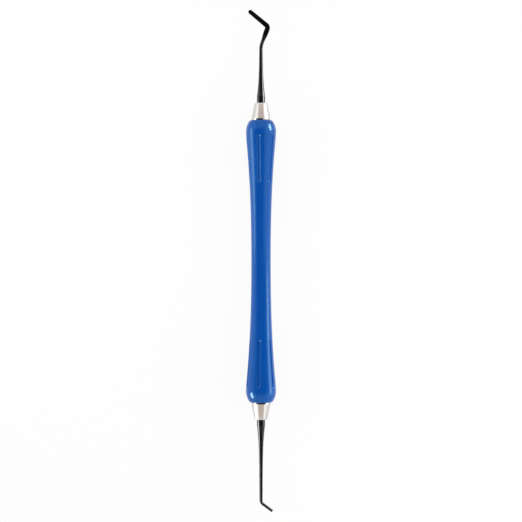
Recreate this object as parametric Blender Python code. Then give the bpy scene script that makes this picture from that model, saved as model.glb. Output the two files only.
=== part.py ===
"""Double-ended composite instrument, lying on its two bulbs. Metres, +Z up.

The handle is one resin moulding with a bulb, a tapering grip and six finger grooves at each end.
Each end holds a turned ferrule by its spigot, and each ferrule holds the tang of a coated tip:
a flat paddle at +Y and a round plugger at -Y. Every piece is modelled along its own local Z,
which points out of the instrument's end, and is placed by an empty at that end.
"""

import math

import bmesh
import bpy
import numpy as np
from mathutils import Vector
from mathutils.geometry import interpolate_bezier

# Fits
FIT_CLEARANCE = 0.00005  # radial gap between a pin and its bore
SEAT_CLEARANCE = 0.00005  # gap between two faces that seat on each other

# Handle, with distances measured inwards from its end face
HANDLE_LENGTH = 0.0952
BULB_DIAMETER = 0.0102
BULB_CREST = 0.00374  # where the bulb is widest
SHOULDER_DROP = 0.00128  # how much the radius falls from the crest to the end face
FACE_EDGE = 0.0005  # rounding of the end face's rim
WAIST_DIAMETER = 0.0066
CREST_PULL = 0.0041  # how far the taper keeps the crest's direction
WAIST_PULL = 0.0300  # how far the taper keeps the waist's direction
CORE_BORE_DIAMETER = 0.0030
SOCKET_FLOOR_GAP = 0.0006  # space that the socket leaves past the spigot's end

# Finger grooves, cut by a ball-ended tool that follows the grip
GROOVE_COUNT = 6
GROOVE_WIDTH = 0.0013
GROOVE_DEPTH = 0.00038
GROOVE_START = 0.0049
GROOVE_LENGTH = 0.0163
GROOVE_TURN = math.radians(-100)  # about the handle's axis, from +X

# Ferrules, drilled through for the tang
FERRULE_LENGTH = 0.0059  # from the handle's end face to the nose
NOSE_WALL = 0.00074
NOSE_EDGE = 0.0006
NOSE_RIM_EDGE = 0.00008  # rounding of the bore's rim
BASE_SHOULDER = 0.00115  # how far the cone's base stands out from the spigot
BASE_LAND = 0.0005  # length of the short cylinder below the cone
BASE_EDGE = 0.00012
SPIGOT_WALL = 0.00066
SPIGOT_LENGTH = 0.0100
SPIGOT_CHAMFER = 0.0003
GRIP_RING_COUNT = 3
GRIP_RING_WIDTH = 0.0008
GRIP_RING_PITCH = 0.0022
GRIP_RING_DEPTH = 0.00015

# Both tips, with distances measured outwards from the ferrule's nose
TANG_DIAMETER = 0.00278
TANG_LENGTH = 0.0110
TANG_CHAMFER = 0.0003

# Paddle tip
PADDLE_COLLAR = 0.0020  # length of the plain cylinder
PADDLE_SHANK = 0.0182  # straight length up to the neck's bend
PADDLE_NECK_DIAMETER = 0.00117
PADDLE_TAPER = 0.0004  # what the straight taper adds to the neck's diameter at the collar
PADDLE_FLARE = 3.4  # the flare's power: more keeps the flare nearer the collar
NECK_BEND_RADIUS = 0.0060
NECK_LEAN = math.radians(20.5)
NECK_LENGTH = 0.00496
FORGE_START = 0.0205  # where the round neck begins to spread flat
FORGE_LENGTH = 0.0036
ELBOW_RADIUS = 0.0012
ELBOW_TURN = math.radians(-70.9)
BLADE_LENGTH = 0.00765  # from the elbow to the blade's end
BLADE_ROOT_WIDTH = 0.00173
BLADE_WIDTH = 0.00146  # at the round end
BLADE_ROOT_THICKNESS = 0.0007
BLADE_THICKNESS = 0.0005
BLADE_SQUARENESS = 5.0  # 2 is an ellipse, more is flatter

# Plugger tip
PLUGGER_COLLAR = 0.0018
PLUGGER_SHANK = 0.0272
PLUGGER_NECK_DIAMETER = 0.0011
PLUGGER_TAPER = 0.0003
PLUGGER_FLARE = 5.0
PLUGGER_BEND_RADIUS = 0.0016
PLUGGER_TURN = math.radians(53.7)
PLUGGER_LENGTH = 0.0040
PLUGGER_DIAMETER = 0.00098
PLUGGER_EDGE = 0.00008

# Facets
ROUND_SIDES = 32
TIP_SIDES = 20
GROOVE_SIDES = 14
SHOULDER_STEPS = 6
TAPER_STEPS = 16
CORNER_STEPS = 3
ARC_ROOM = 0.96  # the share of a side that the arcs at its two ends may take
GROOVE_STEPS = 6
GROOVE_END_STEPS = 4
SHANK_STEPS = 12
BEND_STEPS = 5
FORGE_STEPS = 6
BLADE_STEPS = 3
ROUND_END_STEPS = 5
SMOOTH_ANGLE = math.radians(32)

BULB_RADIUS = BULB_DIAMETER / 2
TANG_RADIUS = TANG_DIAMETER / 2
TANG_BORE_RADIUS = TANG_RADIUS + FIT_CLEARANCE
SPIGOT_RADIUS = TANG_BORE_RADIUS + SPIGOT_WALL
NOSE_HEIGHT = SEAT_CLEARANCE + FERRULE_LENGTH
# The bulbs rest on a facet, whose middle is nearer the axis than its corners
AXIS_HEIGHT = BULB_RADIUS * math.cos(math.pi / ROUND_SIDES)


def clear_scene():
    for old in list(bpy.data.objects):
        bpy.data.objects.remove(old)


def principled(name, colour, metallic, roughness):
    material = bpy.data.materials.new(name)
    material.use_nodes = True
    shader = material.node_tree.nodes["Principled BSDF"]
    shader.inputs["Base Color"].default_value = (*colour, 1)
    shader.inputs["Metallic"].default_value = metallic
    shader.inputs["Roughness"].default_value = roughness
    return material


def circle(radius, height, sides):
    """A ring about local Z, with a flat between two corners at +X, -X, +Y and -Y."""
    angles = [(side + 0.5) * math.tau / sides for side in range(sides)]
    return [Vector((radius * math.cos(angle), radius * math.sin(angle), height)) for angle in angles]


def flattened_ring(centre, side, up, half_width, half_thickness, squareness, sides):
    """A ring across a bent piece: an ellipse, or a rounded rectangle when squareness is above 2."""
    points = []
    for index in range(sides):
        angle = (index + 0.5) * math.tau / sides
        across = math.copysign(abs(math.cos(angle)) ** (2 / squareness), math.cos(angle))
        above = math.copysign(abs(math.sin(angle)) ** (2 / squareness), math.sin(angle))
        points.append(centre + side * (half_width * across) + up * (half_thickness * above))
    return points


def add_loft(mesh, rings, endless=False):
    """Joins ring after ring. The ends are capped, or joined to each other if endless."""
    loops = [[mesh.verts.new(point) for point in ring] for ring in rings]
    pairs = list(zip(loops, loops[1:]))
    if endless:
        pairs.append((loops[-1], loops[0]))
    else:
        mesh.faces.new(loops[0])
        mesh.faces.new(loops[-1])
    for lower, upper in pairs:
        for index in range(len(lower)):
            mesh.faces.new((lower[index - 1], lower[index], upper[index], upper[index - 1]))


def object_from(mesh, name, material):
    bmesh.ops.recalc_face_normals(mesh, faces=mesh.faces)
    data = bpy.data.meshes.new(name)
    mesh.to_mesh(data)
    mesh.free()
    data.shade_smooth()
    data.set_sharp_from_angle(angle=SMOOTH_ANGLE)
    if material:
        data.materials.append(material)
    made = bpy.data.objects.new(name, data)
    bpy.context.scene.collection.objects.link(made)
    return made


def lofted(name, rings, material, endless=False):
    mesh = bmesh.new()
    add_loft(mesh, rings, endless)
    return object_from(mesh, name, material)


def rounded(corners):
    """The outline through (radius, height, corner radius), with an arc at each corner that has one.

    Two arcs that would meet on the side between them both shrink by the same share.
    """
    points = [Vector(corner[:2]) for corner in corners]
    backs = [points[index - 1] - point for index, point in enumerate(points)]
    aheads = [-back for back in backs[1:] + backs[:1]]
    openings = [back.angle(ahead) / 2 for back, ahead in zip(backs, aheads)]
    reaches = [corner[2] / math.tan(opening) for corner, opening in zip(corners, openings)]
    fits = []
    for index, back in enumerate(backs):
        wanted = reaches[index - 1] + reaches[index]
        fits.append(min(1, ARC_ROOM * back.length / wanted) if wanted else 1)
    outline = []
    for index, (here, opening) in enumerate(zip(points, openings)):
        if not reaches[index]:
            outline.append(here)
            continue
        reach = reaches[index] * min(fits[index], fits[(index + 1) % len(fits)])
        arc_radius = reach * math.tan(opening)
        back = backs[index].normalized()
        ahead = aheads[index].normalized()
        centre = here + (back + ahead).normalized() * (arc_radius / math.sin(opening))
        first = here + back * reach - centre
        last = here + ahead * reach - centre
        for step in range(CORNER_STEPS + 1):
            direction = first.slerp(last, step / CORNER_STEPS)
            outline.append(centre + direction.normalized() * arc_radius)
    return outline


def turned(name, outline, material, endless=False):
    rings = [circle(radius, height, ROUND_SIDES) for radius, height in outline]
    return lofted(name, rings, material, endless)


def shoulder():
    """The bulb's front as (distance from the end face, radius), one arc from the face to the crest."""
    arc_radius = (BULB_CREST**2 + SHOULDER_DROP**2) / (2 * SHOULDER_DROP)
    sweep = 2 * math.atan2(SHOULDER_DROP, BULB_CREST)
    points = []
    for step in range(SHOULDER_STEPS):
        angle = sweep * (1 - step / SHOULDER_STEPS)
        inward = BULB_CREST - arc_radius * math.sin(angle)
        points.append(Vector((inward, BULB_RADIUS - arc_radius * (1 - math.cos(angle)))))
    return points


def taper():
    """The rest of the half as (distance from the end face, radius), one curve from crest to waist."""
    crest = Vector((BULB_CREST, BULB_RADIUS))
    waist = Vector((HANDLE_LENGTH / 2, WAIST_DIAMETER / 2))
    crest_handle = crest + Vector((CREST_PULL, 0))
    waist_handle = waist - Vector((WAIST_PULL, 0))
    return interpolate_bezier(crest, crest_handle, waist_handle, waist, TAPER_STEPS + 1)


def grip():
    """Half of the handle's outside as (distance from the end face, radius)."""
    return shoulder() + taper()


def handle_outline():
    """The handle's section as (radius, height), round the outside and back through its bore."""
    half = HANDLE_LENGTH / 2
    socket = SPIGOT_RADIUS + FIT_CLEARANCE
    socket_floor = half - SPIGOT_LENGTH - SOCKET_FLOOR_GAP
    rim, *rest = [(radius, half - inward) for inward, radius in grip()]
    corners = [(CORE_BORE_DIAMETER / 2, socket_floor, 0), (socket, socket_floor, 0), (socket, half, 0)]
    corners += [(*rim, FACE_EDGE)]
    corners += [(*point, 0) for point in rest]
    upper = rounded(corners)
    lower = [Vector((radius, -height)) for radius, height in reversed(upper[:-1])]
    return upper + lower


def groove_tool(mesh, angle, end):
    """One ball-ended cutter along the grip, at +Z for end 1 and at -Z for end -1."""
    half_width = GROOVE_WIDTH / 2
    tool_radius = (half_width**2 + GROOVE_DEPTH**2) / (2 * GROOVE_DEPTH)
    lift = tool_radius - GROOVE_DEPTH
    first = GROOVE_START + half_width
    last = GROOVE_START + GROOVE_LENGTH - half_width
    distances, radii = zip(*grip())
    outward = Vector((math.cos(angle), math.sin(angle), 0))
    across = Vector((-math.sin(angle), math.cos(angle), 0))
    latitudes = [math.pi / 2 * (step + 0.5) / (GROOVE_END_STEPS + 0.5) for step in range(GROOVE_END_STEPS)]
    ball_end = [(tool_radius * math.cos(lat), tool_radius * math.sin(lat)) for lat in latitudes]
    sections = [(first - beyond, radius) for beyond, radius in ball_end]
    sections += [(float(along), tool_radius) for along in np.linspace(first, last, GROOVE_STEPS + 1)]
    sections += [(last + beyond, radius) for beyond, radius in reversed(ball_end)]
    rings = []
    for inward, radius in sections:
        centre = outward * (float(np.interp(inward, distances, radii)) + lift)
        centre.z = end * (HANDLE_LENGTH / 2 - inward)
        rings.append(flattened_ring(centre, across, outward, radius, radius, 2, GROOVE_SIDES))
    add_loft(mesh, rings)


def make_handle(material):
    handle = turned("handle", handle_outline(), material, endless=True)
    tools = bmesh.new()
    for end in (1, -1):
        for index in range(GROOVE_COUNT):
            groove_tool(tools, GROOVE_TURN + index * math.tau / GROOVE_COUNT, end)
    cutter = object_from(tools, "groove_cutter", None)
    cutter.display_type = "WIRE"
    cutter.hide_render = True
    cutter.parent = handle
    cut = handle.modifiers.new("finger_grooves", "BOOLEAN")
    cut.operation = "DIFFERENCE"
    cut.solver = "EXACT"
    cut.object = cutter
    return handle


def make_ferrule(name, material):
    """A cone on the handle's end face, with a ringed spigot behind it and a bore for the tang."""
    base = SEAT_CLEARANCE
    spigot_end = -SPIGOT_LENGTH
    ring_floor = SPIGOT_RADIUS - GRIP_RING_DEPTH
    base_radius = SPIGOT_RADIUS + BASE_SHOULDER
    corners = [
        (TANG_BORE_RADIUS, spigot_end, 0),
        (SPIGOT_RADIUS - SPIGOT_CHAMFER, spigot_end, 0),
        (SPIGOT_RADIUS, spigot_end + SPIGOT_CHAMFER, 0),
    ]
    for index in range(GRIP_RING_COUNT):
        ring = (spigot_end + base) / 2 + (index - (GRIP_RING_COUNT - 1) / 2) * GRIP_RING_PITCH
        corners += [
            (SPIGOT_RADIUS, ring - GRIP_RING_WIDTH / 2, 0),
            (ring_floor, ring - GRIP_RING_WIDTH / 2 + GRIP_RING_DEPTH, 0),
            (ring_floor, ring + GRIP_RING_WIDTH / 2 - GRIP_RING_DEPTH, 0),
            (SPIGOT_RADIUS, ring + GRIP_RING_WIDTH / 2, 0),
        ]
    corners += [
        (SPIGOT_RADIUS, base, 0),
        (base_radius, base, BASE_EDGE),
        (base_radius, base + BASE_LAND, 0),
        (TANG_BORE_RADIUS + NOSE_WALL, NOSE_HEIGHT, NOSE_EDGE),
        (TANG_BORE_RADIUS, NOSE_HEIGHT, NOSE_RIM_EDGE),
    ]
    return turned(name, rounded(corners), material, endless=True)


def along_wire(bends, distance):
    """Where a wire with (length, turn) pieces has got to, as (x, z), and its heading from +Z to +X."""
    place = Vector((0, 0))
    heading = 0
    last = len(bends) - 1
    for index, (length, turn) in enumerate(bends):
        run = distance if index == last else min(distance, length)
        if turn:
            curvature = turn / length
            end_heading = heading + curvature * run
            place.x += (math.cos(heading) - math.cos(end_heading)) / curvature
            place.y += (math.sin(end_heading) - math.sin(heading)) / curvature
            heading = end_heading
        else:
            place += Vector((math.sin(heading), math.cos(heading))) * run
        distance -= run
        if distance <= 0:
            break
    return place, heading


def ease_between(distance, start, length):
    """0 before start, 1 after start and length, and a smooth rise between them."""
    part = min(max((distance - start) / length, 0), 1)
    return part * part * (3 - 2 * part)


def blend(first, second, share):
    return first + (second - first) * share


def shank_radius(distance, collar, shank, neck_diameter, taper_added, flare):
    """The neck's radius, with a straight taper and a flare that together reach the tang's at the collar."""
    left = min(max((shank - distance) / (shank - collar), 0), 1)
    flared = TANG_DIAMETER - neck_diameter - taper_added
    return (neck_diameter + taper_added * left + flared * left**flare) / 2


def tang_sections():
    """The tang's chamfered end, as (distance, half width, half thickness, squareness)."""
    chamfered = TANG_RADIUS - TANG_CHAMFER
    return [
        (-TANG_LENGTH, chamfered, chamfered, 2),
        (TANG_CHAMFER - TANG_LENGTH, TANG_RADIUS, TANG_RADIUS, 2),
    ]


def make_tip(name, bends, sections, material):
    rings = []
    for distance, half_width, half_thickness, squareness in sections:
        (x, z), heading = along_wire(bends, distance)
        side = Vector((math.cos(heading), 0, -math.sin(heading)))
        centre = Vector((x, 0, z))
        up = Vector((0, 1, 0))
        rings.append(flattened_ring(centre, side, up, half_width, half_thickness, squareness, TIP_SIDES))
    return lofted(name, rings, material)


def steps_between(start, end, count):
    """Even distances after start, up to and with end."""
    return [start + (end - start) * (step + 1) / count for step in range(count)]


def make_paddle_tip(material):
    """A round neck that leans out, forged flat before a tight elbow, and a blade with a full round end."""
    neck_bend = NECK_BEND_RADIUS * NECK_LEAN
    elbow_bend = ELBOW_RADIUS * abs(ELBOW_TURN)
    bends = [
        (PADDLE_SHANK, 0),
        (neck_bend, NECK_LEAN),
        (NECK_LENGTH, 0),
        (elbow_bend, ELBOW_TURN),
        (BLADE_LENGTH, 0),
    ]
    neck_start = PADDLE_SHANK + neck_bend
    elbow_start = neck_start + NECK_LENGTH
    blade_start = elbow_start + elbow_bend
    blade_end = blade_start + BLADE_LENGTH
    round_start = blade_end - BLADE_WIDTH / 2
    forge_end = FORGE_START + FORGE_LENGTH

    distances = [PADDLE_COLLAR]
    distances += steps_between(PADDLE_COLLAR, PADDLE_SHANK, SHANK_STEPS)
    distances += steps_between(PADDLE_SHANK, neck_start, BEND_STEPS)
    distances += steps_between(FORGE_START, forge_end, FORGE_STEPS)
    distances += steps_between(elbow_start, blade_start, BEND_STEPS)
    distances += steps_between(blade_start, round_start, BLADE_STEPS)

    sections = tang_sections()
    for distance in sorted(distances):
        neck = shank_radius(
            distance, PADDLE_COLLAR, PADDLE_SHANK, PADDLE_NECK_DIAMETER, PADDLE_TAPER, PADDLE_FLARE
        )
        forged = ease_between(distance, FORGE_START, FORGE_LENGTH)
        drawn = min(max((distance - forge_end) / (round_start - forge_end), 0), 1)
        width = blend(BLADE_ROOT_WIDTH, BLADE_WIDTH, drawn)
        thickness = blend(BLADE_ROOT_THICKNESS, BLADE_THICKNESS, drawn)
        squareness = blend(2, BLADE_SQUARENESS, forged)
        half_width = blend(neck, width / 2, forged)
        half_thickness = blend(neck, thickness / 2, forged)
        sections.append((distance, half_width, half_thickness, squareness))
    for step in range(1, ROUND_END_STEPS + 1):
        angle = math.pi / 2 * step / (ROUND_END_STEPS + 0.5)
        distance = round_start + BLADE_WIDTH / 2 * math.sin(angle)
        sections.append((distance, BLADE_WIDTH / 2 * math.cos(angle), BLADE_THICKNESS / 2, BLADE_SQUARENESS))
    return make_tip("paddle_tip", bends, sections, material)


def make_plugger_tip(material):
    """A round neck with a short angled plugger, whose flat end has a softened edge."""
    bend = PLUGGER_BEND_RADIUS * abs(PLUGGER_TURN)
    bends = [(PLUGGER_SHANK, 0), (bend, PLUGGER_TURN), (PLUGGER_LENGTH, 0)]
    plugger_start = PLUGGER_SHANK + bend
    plugger_end = plugger_start + PLUGGER_LENGTH
    flat_edge = plugger_end - PLUGGER_EDGE

    distances = [PLUGGER_COLLAR]
    distances += steps_between(PLUGGER_COLLAR, PLUGGER_SHANK, SHANK_STEPS)
    distances += steps_between(PLUGGER_SHANK, plugger_start, BEND_STEPS)
    distances += [flat_edge]

    sections = tang_sections()
    for distance in distances:
        neck = shank_radius(
            distance, PLUGGER_COLLAR, PLUGGER_SHANK, PLUGGER_NECK_DIAMETER, PLUGGER_TAPER, PLUGGER_FLARE
        )
        drawn = ease_between(distance, PLUGGER_SHANK, bend)
        radius = blend(neck, PLUGGER_DIAMETER / 2, drawn)
        sections.append((distance, radius, radius, 2))
    end_radius = PLUGGER_DIAMETER / 2 - PLUGGER_EDGE
    sections.append((plugger_end, end_radius, end_radius, 2))
    return make_tip("plugger_tip", bends, sections, material)


def empty_at(name, height, turn, parent):
    empty = bpy.data.objects.new(name, None)
    empty.location.z = height
    empty.rotation_euler.x = turn
    empty.parent = parent
    bpy.context.scene.collection.objects.link(empty)
    return empty


def highest(made):
    return max(vertex.co.z for vertex in made.data.vertices)


def main():
    clear_scene()
    blue_resin = principled("blue_resin", (0.010, 0.100, 0.400), 0, 0.25)
    polished_steel = principled("polished_steel", (0.62, 0.60, 0.58), 1, 0.22)
    black_coating = principled("black_coating", (0.012, 0.012, 0.014), 0.6, 0.28)

    instrument = empty_at("instrument", AXIS_HEIGHT, -math.pi / 2, None)
    paddle_end = empty_at("paddle_end", HANDLE_LENGTH / 2, 0, instrument)
    plugger_end = empty_at("plugger_end", -HANDLE_LENGTH / 2, math.pi, instrument)

    handle = make_handle(blue_resin)
    handle.parent = instrument
    paddle_ferrule = make_ferrule("paddle_ferrule", polished_steel)
    paddle_ferrule.parent = paddle_end
    plugger_ferrule = make_ferrule("plugger_ferrule", polished_steel)
    plugger_ferrule.parent = plugger_end
    paddle_tip = make_paddle_tip(black_coating)
    paddle_tip.parent = paddle_end
    plugger_tip = make_plugger_tip(black_coating)
    plugger_tip.parent = plugger_end
    for tip in (paddle_tip, plugger_tip):
        tip.location.z = NOSE_HEIGHT

    # The origin is under the middle of the instrument's whole length
    instrument.location.y = (highest(plugger_tip) - highest(paddle_tip)) / 2


main()
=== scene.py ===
"""Looks of the double-ended composite instrument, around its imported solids. Metres, +Z up.

Each solid is replaced by a finer mesh of the same form: a turned handle whose finger grooves have
softened edges, two turned ferrules and two lofted tips. Every piece is modelled along its own
local Z, which points out of the instrument's end, and is then laid along world Y.
"""

import math

import bpy
import numpy as np
from mathutils import Matrix, Vector
from mathutils.geometry import interpolate_bezier


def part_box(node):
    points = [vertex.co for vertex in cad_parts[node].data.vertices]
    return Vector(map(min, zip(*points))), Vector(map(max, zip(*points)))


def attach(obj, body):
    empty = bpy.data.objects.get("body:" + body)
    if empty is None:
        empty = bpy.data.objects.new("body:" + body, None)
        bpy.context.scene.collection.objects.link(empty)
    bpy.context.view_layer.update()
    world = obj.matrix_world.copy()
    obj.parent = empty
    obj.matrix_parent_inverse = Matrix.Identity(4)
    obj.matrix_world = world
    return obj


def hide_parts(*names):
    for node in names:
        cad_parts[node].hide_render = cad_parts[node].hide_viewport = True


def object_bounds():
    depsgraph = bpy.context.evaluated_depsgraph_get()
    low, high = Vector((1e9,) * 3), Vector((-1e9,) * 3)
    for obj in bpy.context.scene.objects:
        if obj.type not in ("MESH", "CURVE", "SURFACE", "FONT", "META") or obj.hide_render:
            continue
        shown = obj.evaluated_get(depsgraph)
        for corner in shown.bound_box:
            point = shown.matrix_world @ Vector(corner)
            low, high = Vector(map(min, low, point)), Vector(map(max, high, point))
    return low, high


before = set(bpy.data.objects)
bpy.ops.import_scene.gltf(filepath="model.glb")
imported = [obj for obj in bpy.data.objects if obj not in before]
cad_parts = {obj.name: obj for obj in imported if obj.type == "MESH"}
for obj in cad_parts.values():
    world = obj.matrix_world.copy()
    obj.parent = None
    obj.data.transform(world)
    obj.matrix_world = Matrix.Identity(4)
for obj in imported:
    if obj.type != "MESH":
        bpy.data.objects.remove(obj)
cad_low, cad_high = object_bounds()

# Fits
FIT_CLEARANCE = 0.00005
SEAT_CLEARANCE = 0.00005

# Handle, with distances measured inwards from its end face
BULB_DIAMETER = 0.0102
BULB_CREST = 0.00374
SHOULDER_DROP = 0.00128
FACE_EDGE = 0.0005
WAIST_DIAMETER = 0.0066
CREST_PULL = 0.0041
WAIST_PULL = 0.0300
CORE_BORE_DIAMETER = 0.0030
SOCKET_FLOOR_GAP = 0.0006

# Finger grooves
GROOVE_COUNT = 6
GROOVE_WIDTH = 0.0013
GROOVE_DEPTH = 0.00038
GROOVE_START = 0.0049
GROOVE_LENGTH = 0.0163
GROOVE_TURN = math.radians(-100)
GROOVE_EDGE = 0.00004  # how softly the groove meets the grip
GROOVE_MARGIN = GROOVE_WIDTH / 4  # how far outside a groove the fine rings start

# Ferrules
FERRULE_LENGTH = 0.0059
NOSE_WALL = 0.00074
NOSE_EDGE = 0.0006
NOSE_RIM_EDGE = 0.00008
BASE_SHOULDER = 0.00115
BASE_EDGE = 0.00012
BASE_LAND = 0.0005
LAND_EDGE = 0.0001
SPIGOT_WALL = 0.00066
SPIGOT_LENGTH = 0.0100
SPIGOT_CHAMFER = 0.0003
GRIP_RING_COUNT = 3
GRIP_RING_WIDTH = 0.0008
GRIP_RING_PITCH = 0.0022
GRIP_RING_DEPTH = 0.00015

# Both tips, with distances measured outwards from the ferrule's nose
TANG_DIAMETER = 0.00278
TANG_LENGTH = 0.0110
TANG_CHAMFER = 0.0003

# Paddle tip
PADDLE_COLLAR = 0.0020
PADDLE_SHANK = 0.0182
PADDLE_NECK_DIAMETER = 0.00117
PADDLE_TAPER = 0.0004
PADDLE_FLARE = 3.4
NECK_BEND_RADIUS = 0.0060
NECK_LEAN = math.radians(20.5)
NECK_LENGTH = 0.00496
FORGE_START = 0.0205
FORGE_LENGTH = 0.0036
ELBOW_RADIUS = 0.0012
ELBOW_TURN = math.radians(-70.9)
BLADE_LENGTH = 0.00765
BLADE_ROOT_WIDTH = 0.00173
BLADE_WIDTH = 0.00146
BLADE_ROOT_THICKNESS = 0.0007
BLADE_THICKNESS = 0.0005
BLADE_SQUARENESS = 5.0

# Plugger tip
PLUGGER_COLLAR = 0.0018
PLUGGER_SHANK = 0.0272
PLUGGER_NECK_DIAMETER = 0.0011
PLUGGER_TAPER = 0.0003
PLUGGER_FLARE = 5.0
PLUGGER_BEND_RADIUS = 0.0016
PLUGGER_TURN = math.radians(53.7)
PLUGGER_LENGTH = 0.0040
PLUGGER_DIAMETER = 0.00098
PLUGGER_EDGE = 0.00008

ROUND = 2  # the squareness of a circle or an ellipse

# Mesh fineness
GROOVE_COLUMNS = 36  # round the handle, across each groove
PLAIN_COLUMNS = 16  # round the handle, between two grooves
GROOVE_SPREAD = math.radians(26)  # the angle that a groove's columns cover
GROOVE_END_RINGS = 26
GRIP_RINGS = 24
CREST_RINGS = 8
WAIST_RINGS = 36
TAPER_CURVE_POINTS = 400
SHOULDER_RINGS = 28
FERRULE_SIDES = 192
TIP_SIDES = 64
CORNER_STEPS = 10
SHANK_STEPS = 60
BEND_STEPS = 24
FORGE_STEPS = 24
BLADE_STEPS = 16
ROUND_END_STEPS = 24
PLUGGER_EDGE_STEPS = 6
SMOOTH_ANGLE = math.radians(35)
ARC_ROOM = 0.96  # the share of a side that the arcs at its two ends may take

# Camera
LENS = 150
SENSOR_WIDTH = 36
VIEW_WIDTH = 0.1764  # what the picture shows from side to side, at the height of the axis

# Finishes, with two colours that a slow noise mixes, and bump heights in metres
NOISE_USUAL = (0.3, 0.7)  # where most of a noise value lies
RESIN_COLOURS = ((0.0014, 0.066, 0.345), (0.0019, 0.075, 0.372))
RESIN_ROUGHNESS = (0.15, 0.20)
RESIN_RIPPLE = 0.0000005
RESIN_IOR = 1.48
RESIN_TINT = (0.5, 0.97, 1.0, 1)
STEEL_COLOURS = ((0.65, 0.625, 0.60), (0.69, 0.67, 0.645))
STEEL_ROUGHNESS = (0.08, 0.15)
STEEL_RING_HEIGHT = 0.00000005
COATING_COLOURS = ((0.0018, 0.0018, 0.0019), (0.0030, 0.0030, 0.0032))
COATING_ROUGHNESS = (0.13, 0.19)
COATING_GRAIN = 0.0000002
COATING_IOR = 1.55

# Floor
FLOOR_REACH = 3.0
FLOOR_COLOUR = (0.9, 0.9, 0.9)
FLOOR_WHITE_SHARE = 0.9  # how much of the floor shows as plain white, where it is seen

# Light tent, by how far a direction leans across and along the instrument, or rises
HOOD_EDGE = (0.22, 0.42)  # along
SHADED_RISE = (0.68, 1.0)  # across
SIDE_EDGE = (0.46, 0.70)  # across
TAPER_EDGE = (0.16, 0.26)  # along
BASE_RISE = (0.25, 0.0)  # up
END_RISE = (0.45, 0.62)  # along
END_WIDTH = (0.50, 0.35)  # across
HOOD_COLOUR = (0.008, 0.008, 0.008)
SLOT_COLOUR = (0.72, 0.62, 0.57)
SHADED_COLOUR = (0.68, 0.80, 0.86)
SIDE_COLOUR = (1.35, 1.35, 1.35)
END_COLOUR = (1.0, 1.05, 1.0)
WHITE = (1.0, 1.0, 1.0)

# Lamps, with the way to each by how far it leans across and along the instrument and rises
KEY_ACROSS = 0.938
KEY_ALONG = 0.37
KEY_RISE = 0.158
KEY_DISTANCE = 0.5
KEY_SIZE = (0.27, 0.21)
KEY_RADIANCE = 17.5
END_LAMPS = (
    # end, side, wash radiance, strip radiance
    ("paddle", 1, 0.8, 3.0),
    ("plugger", -1, 0.1, 4.0),
)
NEAR_MIDDLE = 0.041  # from the origin to the middle of each grip's wash and strip
NEAR_DISTANCE = 0.13
WASH_RISE = 0.95
WASH_SIZE = (0.075, 0.10)  # along the instrument, and up
STRIP_RISE = 0.19
STRIP_SIZE = (0.075, 0.056)
FILL_DISTANCE = 1.2
FILL_SIZE = (0.8, 0.8)
FILL_RISE = 0.36
FILL_ABOVE_RADIANCE = 1.05
FILL_SIDE_RADIANCE = 1.25

BULB_RADIUS = BULB_DIAMETER / 2
TANG_RADIUS = TANG_DIAMETER / 2
TANG_BORE_RADIUS = TANG_RADIUS + FIT_CLEARANCE
SPIGOT_RADIUS = TANG_BORE_RADIUS + SPIGOT_WALL
NOSE_HEIGHT = SEAT_CLEARANCE + FERRULE_LENGTH

handle_low, handle_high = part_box("handle")
AXIS_HEIGHT = (handle_low.z + handle_high.z) / 2
HANDLE_MIDDLE = (handle_low.y + handle_high.y) / 2
HALF_HANDLE = (handle_high.y - handle_low.y) / 2
FLOOR_HEIGHT = AXIS_HEIGHT - BULB_RADIUS


# Meshes

def rings_mesh(name, rings, endless):
    """One closed body through rings of equal count, capped, or joined last to first if endless."""
    rings = np.asarray(rings, float)
    count, sides, _ = rings.shape
    faces = []
    for ring in range(count if endless else count - 1):
        lower = ring * sides
        upper = (ring + 1) % count * sides
        for side in range(sides):
            following = (side + 1) % sides
            faces.append((lower + side, lower + following, upper + following, upper + side))
    if not endless:
        faces.append(tuple(reversed(range(sides))))
        faces.append(tuple(range((count - 1) * sides, count * sides)))
    data = bpy.data.meshes.new(name)
    data.from_pydata(rings.reshape(-1, 3).tolist(), [], faces)
    data.shade_smooth()
    data.set_sharp_from_angle(angle=SMOOTH_ANGLE)
    return data


def add_piece(name, data, place, node, material, slot):
    """Puts a mesh where its CAD node is, and has it stand for that node."""
    piece = bpy.data.objects.new(name, data)
    bpy.context.scene.collection.objects.link(piece)
    piece.matrix_world = place
    data.materials.append(material)
    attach(piece, "root")
    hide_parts(node)


def rounded(corners):
    """The outline through (radius, height, corner radius), with an arc at each corner that has one.

    Two arcs that would meet on the side between them both shrink by the same share.
    """
    points = [Vector(corner[:2]) for corner in corners]
    backs = [points[index - 1] - point for index, point in enumerate(points)]
    aheads = [-back for back in backs[1:] + backs[:1]]
    openings = [back.angle(ahead) / 2 for back, ahead in zip(backs, aheads)]
    reaches = [corner[2] / math.tan(opening) for corner, opening in zip(corners, openings)]
    fits = []
    for index, back in enumerate(backs):
        wanted = reaches[index - 1] + reaches[index]
        fits.append(min(1, ARC_ROOM * back.length / wanted) if wanted else 1)
    outline = []
    for index, (here, opening) in enumerate(zip(points, openings)):
        if not reaches[index]:
            outline.append(here)
            continue
        reach = reaches[index] * min(fits[index], fits[(index + 1) % len(fits)])
        arc_radius = reach * math.tan(opening)
        back = backs[index].normalized()
        ahead = aheads[index].normalized()
        centre = here + (back + ahead).normalized() * (arc_radius / math.sin(opening))
        first = here + back * reach - centre
        last = here + ahead * reach - centre
        for step in range(CORNER_STEPS + 1):
            direction = first.slerp(last, step / CORNER_STEPS)
            outline.append(centre + direction.normalized() * arc_radius)
    return outline


def turned(outline, angles):
    """Rings round local Z through an outline of (radius, height)."""
    return [[(r * math.cos(a), r * math.sin(a), z) for a in angles] for r, z in outline]


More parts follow.
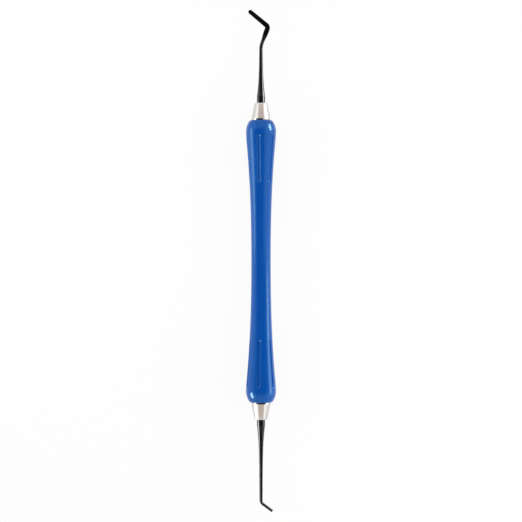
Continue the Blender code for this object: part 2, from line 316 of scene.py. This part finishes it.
def even_angles(sides):
    return [(side + 0.5) * math.tau / sides for side in range(sides)]


# Handle

def shoulder():
    """The bulb's front as (distance from the end face, radius), one arc from the face to the crest."""
    arc_radius = (BULB_CREST**2 + SHOULDER_DROP**2) / (2 * SHOULDER_DROP)
    sweep = 2 * math.atan2(SHOULDER_DROP, BULB_CREST)
    points = []
    for step in range(SHOULDER_RINGS):
        angle = sweep * (1 - step / SHOULDER_RINGS)
        inward = BULB_CREST - arc_radius * math.sin(angle)
        points.append((inward, BULB_RADIUS - arc_radius * (1 - math.cos(angle))))
    return points


def taper():
    """The rest of the half as (distance from the end face, radius), at the rings that it needs."""
    crest = Vector((BULB_CREST, BULB_RADIUS))
    waist = Vector((HALF_HANDLE, WAIST_DIAMETER / 2))
    crest_handle = crest + Vector((CREST_PULL, 0))
    waist_handle = waist - Vector((WAIST_PULL, 0))
    curve = interpolate_bezier(crest, crest_handle, waist_handle, waist, TAPER_CURVE_POINTS)
    inwards, radii = zip(*curve)
    groove_end = GROOVE_START + GROOVE_LENGTH
    stops = [
        (BULB_CREST, CREST_RINGS),
        (GROOVE_START - GROOVE_MARGIN, GROOVE_END_RINGS),
        (GROOVE_START + GROOVE_WIDTH, GRIP_RINGS),
        (groove_end - GROOVE_WIDTH, GROOVE_END_RINGS),
        (groove_end + GROOVE_MARGIN, WAIST_RINGS),
        (HALF_HANDLE, 0),
    ]
    rings = [HALF_HANDLE]
    for (start, count), (end, _) in zip(stops, stops[1:]):
        rings += list(np.linspace(start, end, count, endpoint=False))
    return [(inward, float(np.interp(inward, inwards, radii))) for inward in sorted(rings)]


def groove_angles():
    """Angles round the handle, close together across each groove."""
    pitch = math.tau / GROOVE_COUNT
    across = np.linspace(-GROOVE_SPREAD / 2, GROOVE_SPREAD / 2, GROOVE_COLUMNS)
    between = np.linspace(GROOVE_SPREAD / 2, pitch - GROOVE_SPREAD / 2, PLAIN_COLUMNS + 2)[1:-1]
    sector = np.concatenate([across, between])
    return np.concatenate([GROOVE_TURN + index * pitch + sector for index in range(GROOVE_COUNT)])


def groove_depth(inward, radius, angles):
    """How far the grip is cut back at each angle: a ball-ended groove with softened edges."""
    half_width = GROOVE_WIDTH / 2
    tool_radius = (half_width**2 + GROOVE_DEPTH**2) / (2 * GROOVE_DEPTH)
    lift = tool_radius - GROOVE_DEPTH
    first = GROOVE_START + half_width
    last = GROOVE_START + GROOVE_LENGTH - half_width
    pitch = math.tau / GROOVE_COUNT
    turn = (angles - GROOVE_TURN + pitch / 2) % pitch - pitch / 2
    beyond = max(first - inward, inward - last, 0)
    off = np.hypot(radius * np.sin(turn), beyond)
    inside = np.sqrt(np.maximum(tool_radius**2 - np.minimum(off, half_width) ** 2, 0)) - lift
    outside = (off - half_width) * half_width / lift
    cut = np.where(off < half_width, inside, -outside)
    return (cut + np.hypot(cut, GROOVE_EDGE)) / 2


def handle_rings():
    """The handle's outside with its grooves, and back through the socket and bore of each end."""
    angles = groove_angles()
    socket = SPIGOT_RADIUS + FIT_CLEARANCE
    socket_floor = HALF_HANDLE - SPIGOT_LENGTH - SOCKET_FLOOR_GAP
    rim, *rest = shoulder() + taper()
    corners = [
        (CORE_BORE_DIAMETER / 2, socket_floor, 0),
        (socket, socket_floor, 0),
        (socket, HALF_HANDLE, 0),
        (rim[1], HALF_HANDLE - rim[0], FACE_EDGE),
    ]
    corners += [(radius, HALF_HANDLE - inward, 0) for inward, radius in rest if inward > FACE_EDGE]
    upper = rounded(corners)
    lower = [Vector((radius, -height)) for radius, height in reversed(upper[:-1])]
    rings = []
    for radius, height in upper + lower:
        radii = np.full_like(angles, radius)
        if radius > socket:
            radii -= groove_depth(HALF_HANDLE - abs(height), radius, angles)
        heights = np.full_like(angles, height)
        rings.append(np.stack([radii * np.cos(angles), radii * np.sin(angles), heights], 1))
    return rings


# Ferrules

def ferrule_rings():
    """A cone on the handle's end face, with a ringed spigot behind it and a bore for the tang."""
    base = SEAT_CLEARANCE
    spigot_end = -SPIGOT_LENGTH
    ring_floor = SPIGOT_RADIUS - GRIP_RING_DEPTH
    base_radius = SPIGOT_RADIUS + BASE_SHOULDER
    corners = [
        (TANG_BORE_RADIUS, spigot_end, 0),
        (SPIGOT_RADIUS - SPIGOT_CHAMFER, spigot_end, 0),
        (SPIGOT_RADIUS, spigot_end + SPIGOT_CHAMFER, 0),
    ]
    for index in range(GRIP_RING_COUNT):
        ring = (spigot_end + base) / 2 + (index - (GRIP_RING_COUNT - 1) / 2) * GRIP_RING_PITCH
        corners += [
            (SPIGOT_RADIUS, ring - GRIP_RING_WIDTH / 2, 0),
            (ring_floor, ring - GRIP_RING_WIDTH / 2 + GRIP_RING_DEPTH, 0),
            (ring_floor, ring + GRIP_RING_WIDTH / 2 - GRIP_RING_DEPTH, 0),
            (SPIGOT_RADIUS, ring + GRIP_RING_WIDTH / 2, 0),
        ]
    corners += [
        (SPIGOT_RADIUS, base, 0),
        (base_radius, base, BASE_EDGE),
        (base_radius, base + BASE_LAND, LAND_EDGE),
        (TANG_BORE_RADIUS + NOSE_WALL, NOSE_HEIGHT, NOSE_EDGE),
        (TANG_BORE_RADIUS, NOSE_HEIGHT, NOSE_RIM_EDGE),
    ]
    return turned(rounded(corners), even_angles(FERRULE_SIDES))


# Tips

def along_wire(bends, distance):
    """Where a wire with (length, turn) pieces has got to, as (x, z), and its heading from +Z to +X."""
    place = Vector((0, 0))
    heading = 0
    last = len(bends) - 1
    for index, (length, turn) in enumerate(bends):
        run = distance if index == last else min(distance, length)
        if turn:
            curvature = turn / length
            end_heading = heading + curvature * run
            place.x += (math.cos(heading) - math.cos(end_heading)) / curvature
            place.y += (math.sin(end_heading) - math.sin(heading)) / curvature
            heading = end_heading
        else:
            place += Vector((math.sin(heading), math.cos(heading))) * run
        distance -= run
        if distance <= 0:
            break
    return place, heading


def flattened_ring(centre, side, half_width, half_thickness, squareness):
    """A ring across a bent piece: an ellipse, or a rounded rectangle when squareness is above 2."""
    up = Vector((0, 1, 0))
    points = []
    for angle in even_angles(TIP_SIDES):
        across = math.copysign(abs(math.cos(angle)) ** (2 / squareness), math.cos(angle))
        above = math.copysign(abs(math.sin(angle)) ** (2 / squareness), math.sin(angle))
        points.append(centre + side * (half_width * across) + up * (half_thickness * above))
    return points


def clamped(value):
    return min(max(value, 0), 1)


def ease_between(distance, start, length):
    """0 before start, 1 after start and length, and a smooth rise between them."""
    part = clamped((distance - start) / length)
    return part * part * (3 - 2 * part)


def blend(first, second, share):
    return first + (second - first) * share


def steps_between(start, end, count):
    """Even distances after start, up to and with end."""
    return [start + (end - start) * (step + 1) / count for step in range(count)]


def shank_radius(distance, collar, shank, neck_diameter, taper_added, flare):
    """The neck's radius, with a straight taper and a flare that reach the tang's at the collar."""
    left = clamped((shank - distance) / (shank - collar))
    flared = TANG_DIAMETER - neck_diameter - taper_added
    return (neck_diameter + taper_added * left + flared * left**flare) / 2


def tang_sections():
    """The tang's chamfered end, as (distance, half width, half thickness, squareness)."""
    chamfered = TANG_RADIUS - TANG_CHAMFER
    return [
        (-TANG_LENGTH, chamfered, chamfered, ROUND),
        (TANG_CHAMFER - TANG_LENGTH, TANG_RADIUS, TANG_RADIUS, ROUND),
    ]


def tip_rings(bends, sections):
    """The rings of (distance, half width, half thickness, squareness) along a bent wire."""
    rings = []
    for distance, half_width, half_thickness, squareness in sections:
        (x, z), heading = along_wire(bends, distance)
        side = Vector((math.cos(heading), 0, -math.sin(heading)))
        centre = Vector((x, 0, z))
        rings.append(flattened_ring(centre, side, half_width, half_thickness, squareness))
    return rings


def paddle_rings():
    """A round neck that leans out, forged flat before a tight elbow, and a round-ended blade."""
    neck_bend = NECK_BEND_RADIUS * NECK_LEAN
    elbow_bend = ELBOW_RADIUS * abs(ELBOW_TURN)
    bends = [
        (PADDLE_SHANK, 0),
        (neck_bend, NECK_LEAN),
        (NECK_LENGTH, 0),
        (elbow_bend, ELBOW_TURN),
        (BLADE_LENGTH, 0),
    ]
    neck_start = PADDLE_SHANK + neck_bend
    elbow_start = neck_start + NECK_LENGTH
    blade_start = elbow_start + elbow_bend
    round_start = blade_start + BLADE_LENGTH - BLADE_WIDTH / 2
    forge_end = FORGE_START + FORGE_LENGTH

    distances = [PADDLE_COLLAR]
    distances += steps_between(PADDLE_COLLAR, PADDLE_SHANK, SHANK_STEPS)
    distances += steps_between(PADDLE_SHANK, neck_start, BEND_STEPS)
    distances += steps_between(FORGE_START, forge_end, FORGE_STEPS)
    distances += steps_between(elbow_start, blade_start, BEND_STEPS)
    distances += steps_between(blade_start, round_start, BLADE_STEPS)

    sections = tang_sections()
    for distance in sorted(distances):
        neck = shank_radius(
            distance, PADDLE_COLLAR, PADDLE_SHANK, PADDLE_NECK_DIAMETER, PADDLE_TAPER, PADDLE_FLARE
        )
        forged = ease_between(distance, FORGE_START, FORGE_LENGTH)
        drawn = clamped((distance - forge_end) / (round_start - forge_end))
        width = blend(BLADE_ROOT_WIDTH, BLADE_WIDTH, drawn)
        thickness = blend(BLADE_ROOT_THICKNESS, BLADE_THICKNESS, drawn)
        half_width = blend(neck, width / 2, forged)
        half_thickness = blend(neck, thickness / 2, forged)
        squareness = blend(ROUND, BLADE_SQUARENESS, forged)
        sections.append((distance, half_width, half_thickness, squareness))
    # The round end stops half a step short, so that its last ring keeps some width
    for step in range(1, ROUND_END_STEPS + 1):
        angle = math.pi / 2 * step / (ROUND_END_STEPS + 0.5)
        distance = round_start + BLADE_WIDTH / 2 * math.sin(angle)
        half_width = BLADE_WIDTH / 2 * math.cos(angle)
        sections.append((distance, half_width, BLADE_THICKNESS / 2, BLADE_SQUARENESS))
    return tip_rings(bends, sections)


def plugger_rings():
    """A round neck with a short angled plugger, whose flat end has a softened edge."""
    bend = PLUGGER_BEND_RADIUS * abs(PLUGGER_TURN)
    bends = [(PLUGGER_SHANK, 0), (bend, PLUGGER_TURN), (PLUGGER_LENGTH, 0)]
    plugger_start = PLUGGER_SHANK + bend
    plugger_end = plugger_start + PLUGGER_LENGTH

    distances = [PLUGGER_COLLAR]
    distances += steps_between(PLUGGER_COLLAR, PLUGGER_SHANK, SHANK_STEPS)
    distances += steps_between(PLUGGER_SHANK, plugger_start, BEND_STEPS)

    sections = tang_sections()
    for distance in distances:
        neck = shank_radius(
            distance, PLUGGER_COLLAR, PLUGGER_SHANK, PLUGGER_NECK_DIAMETER, PLUGGER_TAPER, PLUGGER_FLARE
        )
        radius = blend(neck, PLUGGER_DIAMETER / 2, ease_between(distance, PLUGGER_SHANK, bend))
        sections.append((distance, radius, radius, ROUND))
    for step in range(PLUGGER_EDGE_STEPS + 1):
        angle = math.pi / 2 * step / PLUGGER_EDGE_STEPS
        distance = plugger_end - PLUGGER_EDGE * (1 - math.sin(angle))
        radius = PLUGGER_DIAMETER / 2 - PLUGGER_EDGE * (1 - math.cos(angle))
        sections.append((distance, radius, radius, ROUND))
    return tip_rings(bends, sections)


# Materials

def new_material(name):
    """A material with its node tree and its shader."""
    material = bpy.data.materials.new(name)
    material.use_nodes = True
    return material, material.node_tree, material.node_tree.nodes["Principled BSDF"]


def noise(tree, source, scale, detail, stretch=(1, 1, 1)):
    """A noise value from 0 to 1 over the piece, with features of about 1/scale metres."""
    mapping = tree.nodes.new("ShaderNodeMapping")
    mapping.inputs["Scale"].default_value = stretch
    texture = tree.nodes.new("ShaderNodeTexNoise")
    texture.inputs["Scale"].default_value = scale
    texture.inputs["Detail"].default_value = detail
    tree.links.new(source, mapping.inputs["Vector"])
    tree.links.new(mapping.outputs["Vector"], texture.inputs["Vector"])
    return texture.outputs["Fac"]


def ranged(tree, value, low, high, usual=NOISE_USUAL):
    """A value spread from its usual range to low and high."""
    node = tree.nodes.new("ShaderNodeMapRange")
    node.inputs["From Min"].default_value = usual[0]
    node.inputs["From Max"].default_value = usual[1]
    node.inputs["To Min"].default_value = low
    node.inputs["To Max"].default_value = high
    tree.links.new(value, node.inputs["Value"])
    return node.outputs["Result"]


def layered(tree, share, below, above):
    """Two colours, each a value or another node's, mixed by share."""
    node = tree.nodes.new("ShaderNodeMix")
    node.data_type = "RGBA"
    for name, value in (("A", below), ("B", above)):
        if isinstance(value, bpy.types.NodeSocket):
            tree.links.new(value, node.inputs[name])
        else:
            node.inputs[name].default_value = (*value, 1)
    tree.links.new(share, node.inputs["Factor"])
    return node.outputs["Result"]


def bumped(tree, height, distance):
    """A normal for a surface that rises by distance where height is 1."""
    node = tree.nodes.new("ShaderNodeBump")
    node.inputs["Distance"].default_value = distance
    tree.links.new(height, node.inputs["Height"])
    return node.outputs["Normal"]


def object_coordinates(tree):
    return tree.nodes.new("ShaderNodeTexCoord").outputs["Object"]


def blue_resin():
    """Glossy moulded resin: a slight flow mottle, fine handling marks and a faint moulded ripple."""
    material, tree, shader = new_material("blue_resin")
    place = object_coordinates(tree)
    flow = noise(tree, place, scale=260, detail=4, stretch=(1, 1, 0.25))
    marks = noise(tree, place, scale=2600, detail=5, stretch=(1, 1, 0.2))
    ripple = noise(tree, place, scale=900, detail=2)
    colour = layered(tree, ranged(tree, flow, 0, 1), *RESIN_COLOURS)
    tree.links.new(colour, shader.inputs["Base Color"])
    tree.links.new(ranged(tree, marks, *RESIN_ROUGHNESS), shader.inputs["Roughness"])
    tree.links.new(bumped(tree, ripple, RESIN_RIPPLE), shader.inputs["Normal"])
    shader.inputs["IOR"].default_value = RESIN_IOR
    shader.inputs["Specular Tint"].default_value = RESIN_TINT
    return material


def polished_steel():
    """Stainless steel, turned and polished: fine rings that the polish hasn't quite taken out."""
    material, tree, shader = new_material("polished_steel")
    place = object_coordinates(tree)
    rings = noise(tree, place, scale=9000, detail=2, stretch=(0.01, 0.01, 1))
    tone = noise(tree, place, scale=1200, detail=3, stretch=(0.15, 0.15, 1))
    colour = layered(tree, ranged(tree, tone, 0, 1), *STEEL_COLOURS)
    tree.links.new(colour, shader.inputs["Base Color"])
    tree.links.new(ranged(tree, rings, *STEEL_ROUGHNESS), shader.inputs["Roughness"])
    tree.links.new(bumped(tree, rings, STEEL_RING_HEIGHT), shader.inputs["Normal"])
    shader.inputs["Metallic"].default_value = 1
    return material


def black_coating():
    """A hard black non-stick coating on polished steel, with a very fine grain."""
    material, tree, shader = new_material("black_coating")
    place = object_coordinates(tree)
    grain = noise(tree, place, scale=14000, detail=3)
    bloom = noise(tree, place, scale=500, detail=3)
    colour = layered(tree, ranged(tree, bloom, 0, 1), *COATING_COLOURS)
    tree.links.new(colour, shader.inputs["Base Color"])
    tree.links.new(ranged(tree, bloom, *COATING_ROUGHNESS), shader.inputs["Roughness"])
    tree.links.new(bumped(tree, grain, COATING_GRAIN), shader.inputs["Normal"])
    shader.inputs["IOR"].default_value = COATING_IOR
    return material


# Studio

def math_node(tree, operation, first, second=None):
    node = tree.nodes.new("ShaderNodeMath")
    node.operation = operation
    for socket, value in zip(node.inputs, (first, second)):
        if isinstance(value, bpy.types.NodeSocket):
            tree.links.new(value, socket)
        elif value is not None:
            socket.default_value = value
    return node.outputs["Value"]


def shows_background(tree):
    """1 for the rays by which the camera, metal and glass see the white background, and 0 for light."""
    path = tree.nodes.new("ShaderNodeLightPath").outputs
    seen = math_node(tree, "MAXIMUM", path["Is Camera Ray"], path["Is Glossy Ray"])
    return math_node(tree, "MAXIMUM", seen, path["Is Transmission Ray"])


def add_floor():
    """A pale floor that shows nearly white and keeps a faint contact shadow."""
    data = bpy.data.meshes.new("floor")
    reach = FLOOR_REACH
    corners = [(-reach, -reach, FLOOR_HEIGHT), (reach, -reach, FLOOR_HEIGHT)]
    corners += [(reach, reach, FLOOR_HEIGHT), (-reach, reach, FLOOR_HEIGHT)]
    data.from_pydata(corners, [], [(0, 1, 2, 3)])
    floor = bpy.data.objects.new("floor", data)
    bpy.context.scene.collection.objects.link(floor)
    material, tree, shader = new_material("floor_paper")
    shader.inputs["Base Color"].default_value = (*FLOOR_COLOUR, 1)
    shader.inputs["Roughness"].default_value = 1
    shader.inputs["Specular IOR Level"].default_value = 0
    glow = tree.nodes.new("ShaderNodeEmission")
    mix = tree.nodes.new("ShaderNodeMixShader")
    share = math_node(tree, "MULTIPLY", shows_background(tree), FLOOR_WHITE_SHARE)
    tree.links.new(share, mix.inputs[0])
    tree.links.new(shader.outputs["BSDF"], mix.inputs[1])
    tree.links.new(glow.outputs["Emission"], mix.inputs[2])
    tree.links.new(mix.outputs["Shader"], tree.nodes["Material Output"].inputs["Surface"])
    data.materials.append(material)


def stepped(tree, value, start, end):
    """A smooth step of value from 0 at start to 1 at end."""
    node = tree.nodes.new("ShaderNodeMapRange")
    node.interpolation_type = "SMOOTHSTEP"
    node.inputs["From Min"].default_value = start
    node.inputs["From Max"].default_value = end
    tree.links.new(value, node.inputs["Value"])
    return node.outputs["Result"]


def add_world():
    """A light tent: white base, sides and ends, and a warm slot overhead with a dark hood in it.

    What runs along the instrument, such as the handle, reflects the hood and the sides' shaded lower
    part. What tapers, such as the ferrules, reflects the slot and the sides at their full white.
    The bulbs' shoulders reflect the ends.
    """
    world = bpy.data.worlds.new("light_tent")
    bpy.context.scene.world = world
    world.use_nodes = True
    tree = world.node_tree
    direction = tree.nodes.new("ShaderNodeTexCoord").outputs["Generated"]
    parts = tree.nodes.new("ShaderNodeSeparateXYZ")
    tree.links.new(direction, parts.inputs["Vector"])
    across = math_node(tree, "ABSOLUTE", parts.outputs["X"])
    along = math_node(tree, "ABSOLUTE", parts.outputs["Y"])
    slot = layered(tree, stepped(tree, along, *HOOD_EDGE), HOOD_COLOUR, SLOT_COLOUR)
    shaded = layered(tree, ranged(tree, across, 0, 1, SHADED_RISE), slot, SHADED_COLOUR)
    white_sides = layered(tree, stepped(tree, across, *SIDE_EDGE), slot, SIDE_COLOUR)
    tent = layered(tree, stepped(tree, along, *TAPER_EDGE), shaded, white_sides)
    near_end = stepped(tree, along, *END_RISE)
    near_middle = stepped(tree, across, *END_WIDTH)
    tent = layered(tree, math_node(tree, "MULTIPLY", near_end, near_middle), tent, END_COLOUR)
    tent = layered(tree, stepped(tree, parts.outputs["Z"], *BASE_RISE), tent, WHITE)
    camera_ray = tree.nodes.new("ShaderNodeLightPath").outputs["Is Camera Ray"]
    tree.links.new(layered(tree, camera_ray, tent, WHITE), tree.nodes["Background"].inputs["Color"])


def add_softbox(name, aim, direction, distance, size, radiance, shape="RECTANGLE"):
    """A lamp facing what it is aimed at, as bright as a white surface times its radiance."""
    data = bpy.data.lights.new(name, "AREA")
    data.shape = shape
    data.size, data.size_y = size
    area = size[0] * size[1] * (math.pi / 4 if shape == "ELLIPSE" else 1)
    data.energy = radiance * math.pi * area
    lamp = bpy.data.objects.new(name, data)
    bpy.context.scene.collection.objects.link(lamp)
    lamp.location = Vector(aim) + Vector(direction).normalized() * distance
    lamp.rotation_euler = Vector(direction).to_track_quat("Z", "Y").to_euler()
    lamp.visible_camera = False
    return lamp


def add_lamps():
    """A key, a wash and a strip at each end, turned half round from the other end's, and fills."""
    for end, side, wash_radiance, strip_radiance in END_LAMPS:
        bulb = (0, side * (HALF_HANDLE - BULB_CREST), AXIS_HEIGHT)
        key_way = (side * KEY_ACROSS, side * KEY_ALONG, KEY_RISE)
        key = add_softbox(f"key_{end}", bulb, key_way, KEY_DISTANCE, KEY_SIZE, KEY_RADIANCE, "ELLIPSE")
        key.visible_diffuse = False
        grip = (0, side * NEAR_MIDDLE, AXIS_HEIGHT)
        wash_way = (side, 0, WASH_RISE)
        add_softbox(f"wash_{end}", grip, wash_way, NEAR_DISTANCE, WASH_SIZE, wash_radiance)
        strip_way = (-side, 0, STRIP_RISE)
        add_softbox(f"strip_{end}", grip, strip_way, NEAR_DISTANCE, STRIP_SIZE, strip_radiance)
    for name, direction, radiance in (
        ("fill_above", (0, 0, 1), FILL_ABOVE_RADIANCE),
        ("fill_left", (-1, 0, FILL_RISE), FILL_SIDE_RADIANCE),
        ("fill_right", (1, 0, FILL_RISE), FILL_SIDE_RADIANCE),
    ):
        fill = add_softbox(name, (0, 0, 0), direction, FILL_DISTANCE, FILL_SIZE, radiance)
        fill.visible_glossy = False


def add_camera():
    """A long lens straight above, with the paddle end at the top of the picture."""
    data = bpy.data.cameras.new("camera")
    data.lens = LENS
    data.sensor_width = SENSOR_WIDTH
    camera = bpy.data.objects.new("camera", data)
    bpy.context.scene.collection.objects.link(camera)
    middle = (cad_low + cad_high) / 2
    camera.location = (middle.x, middle.y, AXIS_HEIGHT + VIEW_WIDTH * LENS / SENSOR_WIDTH)
    bpy.context.scene.camera = camera


def main():
    lying = Matrix.Rotation(-math.pi / 2, 4, "X")
    middle = Matrix.Translation((0, HANDLE_MIDDLE, AXIS_HEIGHT)) @ lying
    paddle_face = middle @ Matrix.Translation((0, 0, HALF_HANDLE))
    turned_over = middle @ Matrix.Rotation(math.pi, 4, "X")
    plugger_face = turned_over @ Matrix.Translation((0, 0, HALF_HANDLE))
    nose = Matrix.Translation((0, 0, NOSE_HEIGHT))

    resin = blue_resin()
    steel = polished_steel()
    coating = black_coating()
    handle = rings_mesh("handle_fine", handle_rings(), endless=True)
    ferrule = rings_mesh("ferrule_fine", ferrule_rings(), endless=True)
    paddle = rings_mesh("paddle_tip_fine", paddle_rings(), endless=False)
    plugger = rings_mesh("plugger_tip_fine", plugger_rings(), endless=False)
    for piece in (
        ("grooved_handle", handle, middle, "handle", resin, "blue_resin"),
        ("paddle_end_ferrule", ferrule, paddle_face, "paddle_ferrule", steel, "polished_steel"),
        ("plugger_end_ferrule", ferrule.copy(), plugger_face, "plugger_ferrule", steel, "polished_steel"),
        ("paddle_working_tip", paddle, paddle_face @ nose, "paddle_tip", coating, "black_coating"),
        ("plugger_working_tip", plugger, plugger_face @ nose, "plugger_tip", coating, "black_coating"),
    ):
        add_piece(*piece)

    add_floor()
    add_world()
    add_lamps()
    add_camera()
    bpy.context.scene.view_settings.view_transform = "Standard"


main()
